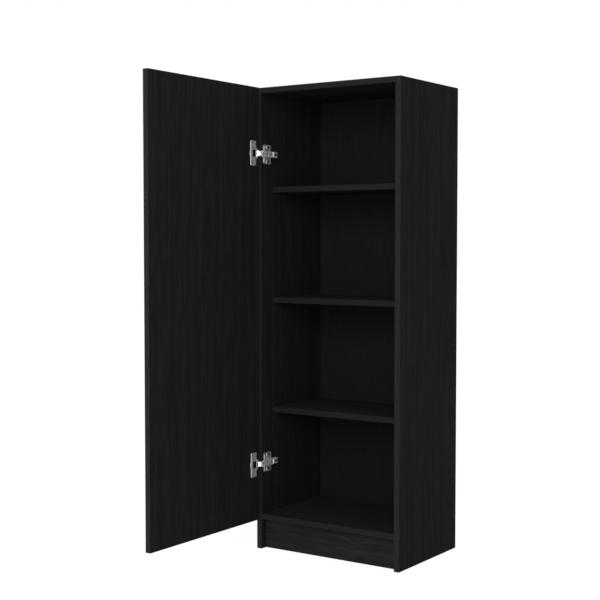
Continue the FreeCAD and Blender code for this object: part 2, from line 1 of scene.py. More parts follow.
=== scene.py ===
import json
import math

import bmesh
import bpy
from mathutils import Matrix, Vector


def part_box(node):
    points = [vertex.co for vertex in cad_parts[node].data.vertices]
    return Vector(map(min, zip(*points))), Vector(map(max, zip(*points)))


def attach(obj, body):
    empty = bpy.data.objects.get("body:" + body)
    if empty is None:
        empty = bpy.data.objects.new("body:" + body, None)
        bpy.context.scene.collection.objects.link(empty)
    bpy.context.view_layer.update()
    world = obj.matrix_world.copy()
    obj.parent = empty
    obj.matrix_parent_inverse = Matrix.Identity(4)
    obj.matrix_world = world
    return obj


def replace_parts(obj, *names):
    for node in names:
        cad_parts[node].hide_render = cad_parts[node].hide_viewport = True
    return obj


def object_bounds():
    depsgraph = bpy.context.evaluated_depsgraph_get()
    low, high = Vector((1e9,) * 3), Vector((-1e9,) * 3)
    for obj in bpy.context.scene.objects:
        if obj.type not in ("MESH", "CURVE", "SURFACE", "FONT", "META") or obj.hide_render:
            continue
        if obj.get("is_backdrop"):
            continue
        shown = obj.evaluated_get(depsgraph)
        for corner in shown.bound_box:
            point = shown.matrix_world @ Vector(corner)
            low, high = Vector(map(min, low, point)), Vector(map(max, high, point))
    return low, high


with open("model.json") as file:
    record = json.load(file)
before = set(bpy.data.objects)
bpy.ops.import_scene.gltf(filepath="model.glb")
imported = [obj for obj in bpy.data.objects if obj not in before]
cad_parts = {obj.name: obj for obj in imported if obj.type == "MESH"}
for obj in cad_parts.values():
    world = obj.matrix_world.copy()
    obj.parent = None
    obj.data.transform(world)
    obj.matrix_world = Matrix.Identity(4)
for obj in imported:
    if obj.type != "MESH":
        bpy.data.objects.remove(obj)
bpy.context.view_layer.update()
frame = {"nodes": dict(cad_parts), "record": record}

# %% [markdown]
# # A tall pantry cabinet in black woodgrain
# This lesson finishes a cabinet whose shape already exists. Every board, hinge part and
# fastener comes from the construction model, in metres, standing on the ground at z = 0.
# The front faces -Y, and the door stands open at a right angle on the left.
# What is left to do here is what a finisher does: give each board its laminate, give each
# metal part its plating, and make the small repeated fittings in more detail.

nodes = frame["nodes"]

# %% [markdown]
# ## Small helpers for node trees
# A finish and a fitting are both node trees. They could be drawn by hand in the editor, but
# a tree that is written down can be read, repeated and changed. Two helpers are enough: one
# adds a node and sets its values, and the other joins two sockets.

# %% Helpers for node trees


def add(tree, kind, inputs=None, **settings):
    """A new node with its settings and the values of its unlinked inputs."""
    made = tree.nodes.new(kind)
    for name, value in settings.items():
        setattr(made, name, value)
    for name, value in (inputs or {}).items():
        made.inputs[name].default_value = value
    return made


def wire(tree, *pairs):
    """Join each pair of an output socket and an input socket."""
    for output, target in pairs:
        tree.links.new(output, target)


def new_finish(name):
    """An empty material with one Principled shader, ready for its nodes."""
    material = bpy.data.materials.new(name)
    material.use_nodes = True
    tree = material.node_tree
    tree.nodes.clear()
    shader = add(tree, "ShaderNodeBsdfPrincipled")
    out = add(tree, "ShaderNodeOutputMaterial")
    wire(tree, (shader.outputs["BSDF"], out.inputs["Surface"]))
    return material, tree, shader


# %% [markdown]
# ## Black woodgrain laminate
# The boards are chipboard wrapped in a black paper film, embossed so that it feels like ash.
# The film isn't one flat black: long pores run with the grain, broad soft bands drift
# beside them, and the pores are a little duller than the ridges between them.
# An image of wood would repeat and blur, so the grain is made from noise. Object coordinates
# are squeezed along the grain, which draws round specks out into long streaks. A slow noise
# first pushes the coordinates sideways, so that the streaks wander as a tree's do.

# %% The grain as a pattern
GRAIN_ALONG = 5.0
GRAIN_ACROSS = 150.0


def grain_streaks(tree, along, seed):
    """Height-like values of the wood's streaks. along is 0 for X or 2 for Z, and seed shifts the pattern."""
    scale = [GRAIN_ACROSS] * 3
    scale[along] = GRAIN_ALONG
    place = add(tree, "ShaderNodeTexCoord")
    drift = add(tree, "ShaderNodeTexNoise", {"Scale": 4.5, "Detail": 2.0, "Roughness": 0.5})
    push = add(tree, "ShaderNodeVectorMath", {1: (0.012, 0.012, 0.012)}, operation="MULTIPLY")
    moved = add(tree, "ShaderNodeVectorMath", operation="ADD")
    squeeze = add(tree, "ShaderNodeMapping")
    squeeze.inputs["Scale"].default_value = scale
    squeeze.inputs["Location"].default_value = (seed, seed * 1.7, seed * 0.6)
    pores = add(tree, "ShaderNodeTexNoise", {"Scale": 3.2, "Detail": 6.0, "Roughness": 0.62})
    bands = add(tree, "ShaderNodeTexNoise", {"Scale": 0.55, "Detail": 3.0, "Roughness": 0.5})
    wire(tree, (place.outputs["Object"], drift.inputs["Vector"]),
         (drift.outputs["Color"], push.inputs[0]),
         (place.outputs["Object"], moved.inputs[0]),
         (push.outputs["Vector"], moved.inputs[1]),
         (moved.outputs["Vector"], squeeze.inputs["Vector"]),
         (squeeze.outputs["Vector"], pores.inputs["Vector"]),
         (squeeze.outputs["Vector"], bands.inputs["Vector"]))
    return place, pores.outputs["Fac"], bands.outputs["Fac"]


def ramp(tree, value, stops):
    """A colour ramp from (position, colour) pairs, fed by the value."""
    made = add(tree, "ShaderNodeValToRGB")
    band = made.color_ramp
    while len(band.elements) < len(stops):
        band.elements.new(0.5)
    for element, (position, colour) in zip(band.elements, stops):
        element.position = position
        element.color = (*colour, 1.0)
    wire(tree, (value, made.inputs["Fac"]))
    return made.outputs["Color"]


# %% [markdown]
# The laminate's colour is the product of the two patterns. The bump comes from the pores
# alone, and it is only a twentieth of a millimetre deep, because the film is thin.
# The cut edges that nobody sees from the front aren't wrapped: they show the pale chips of
# the core. A face's own direction tells them apart, so one material does the whole board.

# %% Laminate over a chipboard core


def chipboard(tree, place):
    """Colour of the raw core: pale wood chips pressed with glue."""
    chips = add(tree, "ShaderNodeTexVoronoi", {"Scale": 420.0, "Randomness": 1.0})
    wire(tree, (place.outputs["Object"], chips.inputs["Vector"]))
    return ramp(tree, chips.outputs["Color"], [(0.1, (0.26, 0.17, 0.095)), (0.45, (0.46, 0.33, 0.2)),
                                               (0.9, (0.6, 0.47, 0.31))])


def laminate(name, along, seed, dark, light, raw_faces):
    """Black woodgrain film. raw_faces lists the axes, as (index, sign), whose faces show the core."""
    material, tree, shader = new_finish(name)
    place, pores, bands = grain_streaks(tree, along, seed)
    fine = ramp(tree, pores, [(0.3, dark), (0.52, [(a + b) / 2 for a, b in zip(dark, light)]), (0.74, light)])
    broad = ramp(tree, bands, [(0.3, (0.76, 0.76, 0.77)), (0.7, (1.16, 1.15, 1.13))])
    colour = add(tree, "ShaderNodeMix", {"Factor": 1.0}, data_type="RGBA", blend_type="MULTIPLY")
    wire(tree, (fine, colour.inputs["A"]), (broad, colour.inputs["B"]))
    film = colour.outputs["Result"]
    gloss = add(tree, "ShaderNodeMapRange", {"To Min": 0.92, "To Max": 0.78})
    relief = add(tree, "ShaderNodeBump", {"Strength": 0.35, "Distance": 0.00005})
    wire(tree, (pores, gloss.inputs["Value"]), (gloss.outputs["Result"], shader.inputs["Roughness"]),
         (pores, relief.inputs["Height"]), (relief.outputs["Normal"], shader.inputs["Normal"]))
    for axis, sign in raw_faces:
        facing = add(tree, "ShaderNodeSeparateXYZ")
        raw = add(tree, "ShaderNodeMath", {1: sign}, operation="MULTIPLY")
        cut = add(tree, "ShaderNodeMath", {1: 0.9}, operation="GREATER_THAN")
        swap = add(tree, "ShaderNodeMix", data_type="RGBA")
        wire(tree, (place.outputs["Normal"], facing.inputs["Vector"]),
             (facing.outputs[axis], raw.inputs[0]), (raw.outputs["Value"], cut.inputs[0]),
             (cut.outputs["Value"], swap.inputs["Factor"]), (film, swap.inputs["A"]),
             (chipboard(tree, place), swap.inputs["B"]))
        film = swap.outputs["Result"]
    wire(tree, (film, shader.inputs["Base Color"]))
    shader.inputs["Specular IOR Level"].default_value = 0.03
    return material


upright_black = laminate("upright black woodgrain", 2, 3.0, (0.0068, 0.0067, 0.0068), (0.0156, 0.0154, 0.0155),
                         [(1, 1.0), (2, -1.0)])
# painted light: the level boards carry the same film as the uprights, and their colours here are made about half again
# as light, for the light that the top, the bottom and the shelves catch
level_black = laminate("level black woodgrain with painted light", 0, 11.0, (0.0095, 0.0094, 0.0095), (0.0235, 0.0232, 0.0233),
                       [(1, 1.0)])
print("laminates:", upright_black.name, "and", level_black.name)

# %% [markdown]
# ## Edge strips
# The front edges are closed with a plastic strip half a millimetre thick, ironed on with glue. Its print is the same
# wood, but the plastic is smoother than the paper film, so it catches more light and makes the fine pale outline round
# every opening. The grain follows the strip, so an upright strip and a level one need their own direction. The level
# strip is also painted about a quarter darker than the upright one, though it is the same plastic: painted shade for
# the level boards' front edges.

# %% Edge strip finish


def edge_strip(name, along, seed, dark, light):
    material, tree, shader = new_finish(name)
    place, pores, bands = grain_streaks(tree, along, seed)
    colour = ramp(tree, pores, [(0.3, dark), (0.7, light)])
    relief = add(tree, "ShaderNodeBump", {"Strength": 0.2, "Distance": 0.00003})
    gloss = add(tree, "ShaderNodeMapRange", {"To Min": 0.7, "To Max": 0.55})
    wire(tree, (colour, shader.inputs["Base Color"]), (bands, gloss.inputs["Value"]),
         (gloss.outputs["Result"], shader.inputs["Roughness"]), (pores, relief.inputs["Height"]),
         (relief.outputs["Normal"], shader.inputs["Normal"]))
    shader.inputs["Specular IOR Level"].default_value = 0.08
    return material


upright_strip = edge_strip("upright edge strip", 2, 21.0, (0.0095, 0.0094, 0.0095), (0.0165, 0.0163, 0.0164))
# painted shade: the level strip's colours are the upright strip's made about a quarter darker
level_strip = edge_strip("level edge strip with painted shade", 0, 27.0, (0.0072, 0.0071, 0.0072), (0.0126, 0.0124, 0.0125))
print("edge strips:", upright_strip.name, "and", level_strip.name)

# %% [markdown]
# ## Printed back board
# The back is thin hardboard. The side that faces into the cabinet is printed black, with a
# weaker grain than the film, and the side that faces the wall is left as it came from the
# press: brown, with a faint mesh of fibres.

# %% Back board finish


def back_board(name):
    material, tree, shader = new_finish(name)
    place, pores, bands = grain_streaks(tree, 2, 33.0)
    printed = ramp(tree, pores, [(0.3, (0.0055, 0.0053, 0.0054)), (0.7, (0.0105, 0.0102, 0.0103))])
    fibres = add(tree, "ShaderNodeTexNoise", {"Scale": 260.0, "Detail": 5.0, "Roughness": 0.7})
    wire(tree, (place.outputs["Object"], fibres.inputs["Vector"]))
    raw = ramp(tree, fibres.outputs["Fac"], [(0.3, (0.13, 0.073, 0.038)), (0.7, (0.235, 0.142, 0.078))])
    facing = add(tree, "ShaderNodeSeparateXYZ")
    behind = add(tree, "ShaderNodeMath", {1: 0.5}, operation="GREATER_THAN")
    swap = add(tree, "ShaderNodeMix", data_type="RGBA")
    gloss = add(tree, "ShaderNodeMapRange", {"To Min": 0.72, "To Max": 0.6})
    wire(tree, (place.outputs["Normal"], facing.inputs["Vector"]), (facing.outputs["Y"], behind.inputs[0]),
         (behind.outputs["Value"], swap.inputs["Factor"]), (printed, swap.inputs["A"]), (raw, swap.inputs["B"]),
         (swap.outputs["Result"], shader.inputs["Base Color"]), (bands, gloss.inputs["Value"]),
         (gloss.outputs["Result"], shader.inputs["Roughness"]))
    shader.inputs["Specular IOR Level"].default_value = 0.05
    return material


hardboard = back_board("printed back board")
print("back:", hardboard.name)

# %% [markdown]
# ## Plated metal
# The hinges are pressed from steel sheet and plated with nickel. The cup and its link are
# bright, and the arm and its plate come out of the same bath a little duller. Plating is
# never an even mirror: the sheet's rolling marks stay under it, and the gloss changes from
# place to place. A fine noise in the roughness and a faint bump are what make it metal
# rather than grey paint.

# %% Metal finishes


def plated(name, low, high, rough_low, rough_high, mark_scale, depth, metallic=1.0):
    """Metal whose colour runs from low to high and whose gloss varies with small marks."""
    material, tree, shader = new_finish(name)
    place = add(tree, "ShaderNodeTexCoord")
    clouds = add(tree, "ShaderNodeTexNoise", {"Scale": 160.0, "Detail": 3.0})
    marks = add(tree, "ShaderNodeTexNoise", {"Scale": mark_scale, "Detail": 4.0, "Roughness": 0.6})
    gloss = add(tree, "ShaderNodeMapRange", {"To Min": rough_low, "To Max": rough_high})
    relief = add(tree, "ShaderNodeBump", {"Strength": 0.25, "Distance": depth})
    wire(tree, (place.outputs["Object"], clouds.inputs["Vector"]),
         (place.outputs["Object"], marks.inputs["Vector"]),
         (ramp(tree, clouds.outputs["Fac"], [(0.3, low), (0.7, high)]), shader.inputs["Base Color"]),
         (marks.outputs["Fac"], gloss.inputs["Value"]), (gloss.outputs["Result"], shader.inputs["Roughness"]),
         (marks.outputs["Fac"], relief.inputs["Height"]), (relief.outputs["Normal"], shader.inputs["Normal"]))
    shader.inputs["Metallic"].default_value = metallic
    return material


bright_nickel = plated("bright nickel plate", (0.84, 0.83, 0.81), (0.93, 0.92, 0.9), 0.16, 0.3, 900.0, 0.00002, 0.6)
satin_nickel = plated("satin nickel plate", (0.6, 0.595, 0.585), (0.76, 0.755, 0.74), 0.28, 0.42, 1400.0, 0.00003, 0.6)
plate_nickel = plated("mounting plate nickel", (0.6, 0.6, 0.59), (0.74, 0.74, 0.73), 0.24, 0.38, 1100.0, 0.00003, 0.8)
screw_zinc = plated("zinc plated screw steel", (0.52, 0.53, 0.54), (0.68, 0.68, 0.67), 0.24, 0.38, 1800.0, 0.00002)
# The plates' and the arm's screws get a near-black steel colour.
black_screw = plated("near-black screw steel", (0.035, 0.035, 0.037), (0.07, 0.07, 0.07), 0.35, 0.5, 1800.0, 0.00002, 0.9)
spring_wire = plated("oiled spring wire", (0.3, 0.3, 0.31), (0.42, 0.42, 0.43), 0.25, 0.4, 1500.0, 0.00001)
cast_zinc = plated("die cast zinc", (0.4, 0.4, 0.4), (0.52, 0.52, 0.51), 0.4, 0.6, 700.0, 0.00006)

# %% [markdown]
# The cup is plated with its collar, and its well, where the link's pins and springs work, is plated too; the
# near-black colour given to the well here is painted shade for the deep recess. The change comes just below the door's
# face, so the depth under that face, read from the frame, is what blends the two.

# %% Cup with painted shade in its well
door_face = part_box("door_panel")[1].x
cup_nickel = plated("nickel cup with painted well shade", (0.62, 0.62, 0.61), (0.78, 0.78, 0.76), 0.22, 0.36, 1000.0, 0.00003,
                    0.7)


def paint_well_shade(material, face):
    """Blend the metal's colour to near-black below the door's face, as painted shade in the cup's well."""
    tree = material.node_tree
    shader = next(node for node in tree.nodes if node.type == "BSDF_PRINCIPLED")
    metal = shader.inputs["Base Color"].links[0].from_socket
    place = add(tree, "ShaderNodeTexCoord")
    axes = add(tree, "ShaderNodeSeparateXYZ")
    depth = add(tree, "ShaderNodeMapRange", {"From Min": face - 0.0007, "From Max": face - 0.0002})
    # painted shade: the near-black colour stands for the shadow in the cup's well
    blend = add(tree, "ShaderNodeMix", {"A": (0.006, 0.006, 0.006, 1.0)}, data_type="RGBA")
    wire(tree, (place.outputs["Object"], axes.inputs["Vector"]), (axes.outputs["X"], depth.inputs["Value"]),
         (depth.outputs["Result"], blend.inputs["Factor"]), (metal, blend.inputs["B"]),
         (blend.outputs["Result"], shader.inputs["Base Color"]))


# paint the cup's well with painted shade below the door's face
paint_well_shade(cup_nickel, door_face)
print("door's inner face at x =", round(door_face, 5))

# %% [markdown]
# ## Moulded caps and beech dowels
# Black plastic caps hide the cams under the shelves, with the fine spark texture of a
# moulding tool. The dowels are plain beech: pale, with short dark flecks along the pin.

# %% Plastic and beech finishes


def moulded_plastic(name):
    material, tree, shader = new_finish(name)
    place = add(tree, "ShaderNodeTexCoord")
    spark = add(tree, "ShaderNodeTexNoise", {"Scale": 2600.0, "Detail": 2.0})
    relief = add(tree, "ShaderNodeBump", {"Strength": 0.4, "Distance": 0.00003})
    gloss = add(tree, "ShaderNodeMapRange", {"To Min": 0.48, "To Max": 0.62})
    colour = ramp(tree, spark.outputs["Fac"], [(0.3, (0.008, 0.008, 0.008)), (0.7, (0.013, 0.013, 0.013))])
    wire(tree, (place.outputs["Object"], spark.inputs["Vector"]), (colour, shader.inputs["Base Color"]),
         (spark.outputs["Fac"], gloss.inputs["Value"]), (gloss.outputs["Result"], shader.inputs["Roughness"]),
         (spark.outputs["Fac"], relief.inputs["Height"]), (relief.outputs["Normal"], shader.inputs["Normal"]))
    shader.inputs["Specular IOR Level"].default_value = 0.2
    return material


def beech(name):
    material, tree, shader = new_finish(name)
    place = add(tree, "ShaderNodeTexCoord")
    squeeze = add(tree, "ShaderNodeMapping", {"Scale": (300.0, 2400.0, 2400.0)})
    flecks = add(tree, "ShaderNodeTexNoise", {"Scale": 1.0, "Detail": 4.0})
    colour = ramp(tree, flecks.outputs["Fac"], [(0.35, (0.5, 0.33, 0.19)), (0.6, (0.68, 0.51, 0.33))])
    gloss = add(tree, "ShaderNodeMapRange", {"To Min": 0.7, "To Max": 0.55})
    wire(tree, (place.outputs["Object"], squeeze.inputs["Vector"]), (squeeze.outputs["Vector"], flecks.inputs["Vector"]),
         (colour, shader.inputs["Base Color"]), (flecks.outputs["Fac"], gloss.inputs["Value"]),
         (gloss.outputs["Result"], shader.inputs["Roughness"]))
    return material


black_cap = moulded_plastic("black moulded cap")
beech_wood = beech("plain beech")
print("small fittings:", black_cap.name, "and", beech_wood.name)

# %% [markdown]
# ## Giving each construction piece its finish
# The record names a material slot for every piece, and that is the list to follow. Only the
# edge strips need a second look: a strip that is taller than it is wide runs upright.

# %% Finish the construction pieces
FINISH_OF_SLOT = {
    "laminate_upright": upright_black,
    "laminate_level": level_black,
    "back_board": hardboard,
    "bright_nickel": bright_nickel,
    "hinge_steel": satin_nickel,
    "spring_steel": spring_wire,
    "screw_steel": screw_zinc,
    "cam_zinc": cast_zinc,
    "cap_plastic": black_cap,
    "dowel_beech": beech_wood,
}


def finish_for(name, slot):
    if name.startswith("hinge_cup"):
        return cup_nickel
    if name.startswith("hinge_plate"):
        return plate_nickel
    if slot != "edge_strip":
        return FINISH_OF_SLOT[slot]
    low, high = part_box(name)
    return upright_strip if high.z - low.z > high.x - low.x else level_strip


for part in frame["record"]["subparts"]:
    piece = nodes[part["node"]]
    piece.data.materials.clear()
    piece.data.materials.append(finish_for(part["node"], part["material_slot"]))

# %% [markdown]
# ## Where the fittings go
# Screws, caps and dowels repeat, and each sits where the construction model put a plain one.
# Reading those places from the frame keeps the two in step: a model that is changed and
# packed again moves the fittings too. A piece there holds several solids, so its mesh is
# copied, joined at its seams and walked from face to face until each solid is found.

# %% Find the solids of a piece


def solids_of(name):
    """The lowest and highest corner of each separate solid of a construction piece."""
    shape = bmesh.new()
    shape.from_mesh(nodes[name].data)
    bmesh.ops.remove_doubles(shape, verts=shape.verts, dist=1e-7)
    waiting = set(shape.verts)
    boxes = []
    while waiting:
        edge_of_search = [waiting.pop()]
        found = []
        while edge_of_search:
            vertex = edge_of_search.pop()
            found.append(vertex.co.copy())
            for edge in vertex.link_edges:
                other = edge.other_vert(vertex)
                if other in waiting:
                    waiting.remove(other)
                    edge_of_search.append(other)
        low = Vector([min(point[axis] for point in found) for axis in range(3)])
        high = Vector([max(point[axis] for point in found) for axis in range(3)])
        boxes.append((low, high))
    shape.free()
    return sorted(boxes, key=lambda box: (round(box[0].z, 4), round(box[0].y, 4), round(box[0].x, 4)))


for name in ("cup_screws", "plate_screws", "arm_adjusting_screws", "arm_fixing_screws", "cam_caps", "wooden_dowels"):
    print(name, len(solids_of(name)), "solids")

# %% [markdown]
# ## The way a fitting is repeated
# Copying a finished screw by hand would give many meshes to keep alike. Geometry Nodes hold
# one recipe instead. The object is only a cloud of points, one for each screw, and each
# point carries the direction that its screw faces. The modifier builds one screw, sets it on
# every point and turns it. The result is then made a plain mesh, so nothing live is left.

# %% Helpers for repeated fittings


def new_recipe(name, sizes):
    """A geometry tree with a point cloud input, named size inputs in metres, and a material input."""
    tree = bpy.data.node_groups.new(name, "GeometryNodeTree")
    tree.is_modifier = True
    tree.interface.new_socket("Geometry", in_out="OUTPUT", socket_type="NodeSocketGeometry")
    tree.interface.new_socket("Points", in_out="INPUT", socket_type="NodeSocketGeometry")
    for size in sizes:
        tree.interface.new_socket(size, in_out="INPUT", socket_type="NodeSocketFloat")
    tree.interface.new_socket("Finish", in_out="INPUT", socket_type="NodeSocketMaterial")
    return tree, add(tree, "NodeGroupInput").outputs


def maths(tree, operation, first, second=0.0):
    """One arithmetic step between two sockets or numbers."""
    step = add(tree, "ShaderNodeMath", operation=operation)
    for index, value in enumerate((first, second)):
        if isinstance(value, (int, float)):
            step.inputs[index].default_value = value
        else:
            wire(tree, (value, step.inputs[index]))
    return step.outputs["Value"]


def moved_up(tree, geometry, height):
    """Move a part along the fitting's own axis."""
    offset = add(tree, "ShaderNodeCombineXYZ")
    shift = add(tree, "GeometryNodeTransform")
    if isinstance(height, (int, float)):
        offset.inputs["Z"].default_value = height
    else:
        wire(tree, (height, offset.inputs["Z"]))
    wire(tree, (geometry, shift.inputs["Geometry"]), (offset.outputs["Vector"], shift.inputs["Translation"]))
    return shift.outputs["Geometry"]


def cone(tree, low_radius, high_radius, height, sides=32):
    """A straight-sided part from z = 0 up, wider or narrower at its top."""
    made = add(tree, "GeometryNodeMeshCone", {"Vertices": sides})
    for name, value in (("Radius Bottom", low_radius), ("Radius Top", high_radius), ("Depth", height)):
        if isinstance(value, (int, float)):
            made.inputs[name].default_value = value
        else:
            wire(tree, (value, made.inputs[name]))
    return made.outputs["Mesh"]


def joined(tree, *parts):
    join = add(tree, "GeometryNodeJoinGeometry")
    for part in parts:
        wire(tree, (part, join.inputs["Geometry"]))
    return join.outputs["Geometry"]


# %% [markdown]
# A cut in Geometry Nodes is a boolean between two closed meshes. The last step is the same
# for every fitting: crisp edges stay crisp where two faces meet at more than 30 degrees, the
# fitting is set on each point, and real faces replace the instances.

# %% Cut, place and close a recipe


def cut_away(tree, body, tool):
    cut = add(tree, "GeometryNodeMeshBoolean", operation="DIFFERENCE")
    wire(tree, (body, cut.inputs["Mesh 1"]), (tool, cut.inputs["Mesh 2"]))
    return cut.outputs["Mesh"]


def close_recipe(tree, group, fitting):
    """Shade the fitting, set it on the points, make it real and give it its finish."""
    smooth = add(tree, "GeometryNodeSetShadeSmooth", {"Shade Smooth": True}, domain="FACE")
    angle = add(tree, "GeometryNodeInputMeshEdgeAngle")
    sharp = add(tree, "FunctionNodeCompare", {"B": math.radians(30)}, data_type="FLOAT", operation="GREATER_THAN")
    crisp = add(tree, "GeometryNodeSetShadeSmooth", {"Shade Smooth": False}, domain="EDGE")
    facing = add(tree, "GeometryNodeInputNamedAttribute", {"Name": "facing"}, data_type="FLOAT_VECTOR")
    turn = add(tree, "FunctionNodeAlignRotationToVector", axis="Z")
    placing = add(tree, "GeometryNodeInstanceOnPoints")
    real = add(tree, "GeometryNodeRealizeInstances")
    paint = add(tree, "GeometryNodeSetMaterial")
    out = add(tree, "NodeGroupOutput")
    wire(tree, (fitting, smooth.inputs["Geometry"]), (smooth.outputs["Geometry"], crisp.inputs["Geometry"]),
         (angle.outputs["Unsigned Angle"], sharp.inputs["A"]), (sharp.outputs["Result"], crisp.inputs["Selection"]),
         (group["Points"], placing.inputs["Points"]), (crisp.outputs["Geometry"], placing.inputs["Instance"]),
         (facing.outputs["Attribute"], turn.inputs["Vector"]), (turn.outputs["Rotation"], placing.inputs["Rotation"]),
         (placing.outputs["Instances"], real.inputs["Geometry"]), (real.outputs["Geometry"], paint.inputs["Geometry"]),
         (group["Finish"], paint.inputs["Material"]), (paint.outputs["Geometry"], out.inputs["Geometry"]))


def repeat(name, recipe, places, sizes, finish):
    """Run a recipe on (point, direction) places and keep the result as a plain mesh."""
    cloud = bpy.data.meshes.new(name)
    cloud.from_pydata([point for point, direction in places], [], [])
    facing = cloud.attributes.new("facing", "FLOAT_VECTOR", "POINT")
    for item, (point, direction) in zip(facing.data, places):
        item.vector = direction
    piece = bpy.data.objects.new(name, cloud)
    bpy.context.scene.collection.objects.link(piece)
    modifier = piece.modifiers.new("repeat", "NODES")
    modifier.node_group = recipe
    for socket in recipe.interface.items_tree:
        if socket.in_out == "INPUT" and socket.name in sizes:
            modifier[socket.identifier] = sizes[socket.name]
        if socket.in_out == "INPUT" and socket.name == "Finish":
            modifier[socket.identifier] = finish
    graph = bpy.context.evaluated_depsgraph_get()
    made = bpy.data.meshes.new_from_object(piece.evaluated_get(graph))
    piece.modifiers.clear()
    piece.data = made
    made.name = name
    print(name, "x", len(places), "with", len(made.polygons), "faces")
    return piece


# %% [markdown]
# ## The screw recipe
# A wood screw is a head, a thinner core, a point and a thread that winds round the core. The
# thread is a spiral curve given a small three-sided section. The cross in the head is cut
# with two crossing bars. The same recipe makes a countersunk head, narrow below and wide
# above, and a cheese head, wide below and a little narrower above.

# %% Screw recipe
SCREW_SIZES = ("Head Low Radius", "Head Top Radius", "Head Depth", "Core Radius", "Thread Radius", "Length", "Pitch",
               "Cross Width", "Cross Depth")


def cross_bars(tree, group):
    """Two crossing bars that stand in the head's face."""
    thin = maths(tree, "MULTIPLY", group["Cross Width"], 0.26)
    tall = maths(tree, "MULTIPLY", group["Cross Depth"], 2.0)
    bars = []
    for wide, narrow in ((group["Cross Width"], thin), (thin, group["Cross Width"])):
        size = add(tree, "ShaderNodeCombineXYZ")
        bar = add(tree, "GeometryNodeMeshCube")
        wire(tree, (wide, size.inputs["X"]), (narrow, size.inputs["Y"]), (tall, size.inputs["Z"]),
             (size.outputs["Vector"], bar.inputs["Size"]))
        bars.append(bar.outputs["Mesh"])
    return bars


def thread(tree, group, start, height):
    """A spiral ridge round the core, from start up for this height."""
    turns = maths(tree, "DIVIDE", height, group["Pitch"])
    spiral = add(tree, "GeometryNodeCurveSpiral", {"Resolution": 24})
    ridge = add(tree, "GeometryNodeCurvePrimitiveCircle", {"Resolution": 3}, mode="RADIUS")
    sweep = add(tree, "GeometryNodeCurveToMesh", {"Fill Caps": True})
    middle = maths(tree, "MULTIPLY", maths(tree, "ADD", group["Core Radius"], group["Thread Radius"]), 0.5)
    wire(tree, (turns, spiral.inputs["Rotations"]), (middle, spiral.inputs["Start Radius"]),
         (middle, spiral.inputs["End Radius"]), (height, spiral.inputs["Height"]),
         (maths(tree, "SUBTRACT", group["Thread Radius"], middle), ridge.inputs["Radius"]),
         (spiral.outputs["Curve"], sweep.inputs["Curve"]), (ridge.outputs["Curve"], sweep.inputs["Profile Curve"]))
    return moved_up(tree, sweep.outputs["Mesh"], start)


def screw_recipe():
    tree, group = new_recipe("screw", SCREW_SIZES)
    head = cone(tree, group["Head Low Radius"], group["Head Top Radius"], group["Head Depth"])
    head = moved_up(tree, head, maths(tree, "MULTIPLY", group["Head Depth"], -1.0))
    for bar in cross_bars(tree, group):
        head = cut_away(tree, head, bar)
    tip_height = maths(tree, "MULTIPLY", group["Core Radius"], 2.2)
    bottom = maths(tree, "MULTIPLY", group["Length"], -1.0)
    core_start = maths(tree, "ADD", bottom, tip_height)
    core_height = maths(tree, "SUBTRACT", maths(tree, "SUBTRACT", group["Length"], group["Head Depth"]), tip_height)
    core = moved_up(tree, cone(tree, group["Core Radius"], group["Core Radius"], core_height, 24), core_start)
    tip = moved_up(tree, cone(tree, 0.0001, group["Core Radius"], tip_height, 24), bottom)
    threaded = maths(tree, "MULTIPLY", core_height, 0.8)
    ridge = thread(tree, group, core_start, threaded)
    close_recipe(tree, group, joined(tree, head, core, tip, ridge))
    return tree


screw = screw_recipe()
print("screw recipe with", len(screw.nodes), "nodes")

# %% [markdown]
# ## Screws of the cup and of the mounting plate
# Both are countersunk and face out of the board they hold: the cup's out of the door's
# inner face, and the plate's out of the side panel, and both of these point to +X while the
# door is open. The sizes come from the plain screws: the box's height is the head's diameter,
# and its width is the length.

# %% Countersunk screws


def screw_places(name):
    """Head centres and directions of screws that face +X, with their head radius and length."""
    boxes = solids_of(name)
    places = []
    for low, high in boxes:
        places.append((Vector((high.x, (low.y + high.y) / 2, (low.z + high.z) / 2)), Vector((1, 0, 0))))
    low, high = boxes[0]
    return places, (high.z - low.z) / 2, high.x - low.x


def countersunk(name, node, body, core_radius, finish):
    places, head_radius, length = screw_places(node)
    sizes = {"Head Low Radius": core_radius, "Head Top Radius": head_radius, "Head Depth": head_radius - core_radius,
             "Core Radius": core_radius * 0.74, "Thread Radius": core_radius, "Length": length, "Pitch": 0.0016,
             "Cross Width": head_radius * 1.15, "Cross Depth": head_radius * 0.42}
    piece = repeat(name, screw, places, sizes, finish)
    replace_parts(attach(piece, body), node)


countersunk("cup_fixing_screws", "cup_screws", "door", 0.0016, screw_zinc)
countersunk("plate_fixing_screws", "plate_screws", "carcass", 0.0017, black_screw)

# %% [markdown]
# ## Adjusting screws of the arm
# The screw near the arm's nose sets how far the door covers the side panel, the middle one
# locks it, and the one in the slot at the tail sets the depth. They have flat cheese heads
# with a small chamfer and a machine thread, which is finer than a wood screw's.

# %% Cheese head screws


def cheese_head(name, node, head_height, shank_radius):
    places, head_radius, length = screw_places(node)
    sizes = {"Head Low Radius": head_radius, "Head Top Radius": head_radius * 0.88, "Head Depth": head_height,
             "Core Radius": shank_radius * 0.8, "Thread Radius": shank_radius, "Length": length, "Pitch": 0.0007,
             "Cross Width": head_radius * 1.3, "Cross Depth": head_height * 0.6}
    piece = repeat(name, screw, places, sizes, black_screw)
    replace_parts(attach(piece, "carcass"), node)


cheese_head("arm_setting_screws", "arm_adjusting_screws", 0.0016, 0.0019)
cheese_head("arm_depth_screws", "arm_fixing_screws", 0.0016, 0.0019)

# %% [markdown]
# ## Cam caps
# A cap is a thin disc with a chamfered rim, pushed into the cam's bore from below. A small
# notch at the rim takes a screwdriver's tip, so that the cap can be prised out again.

# %% Cap recipe


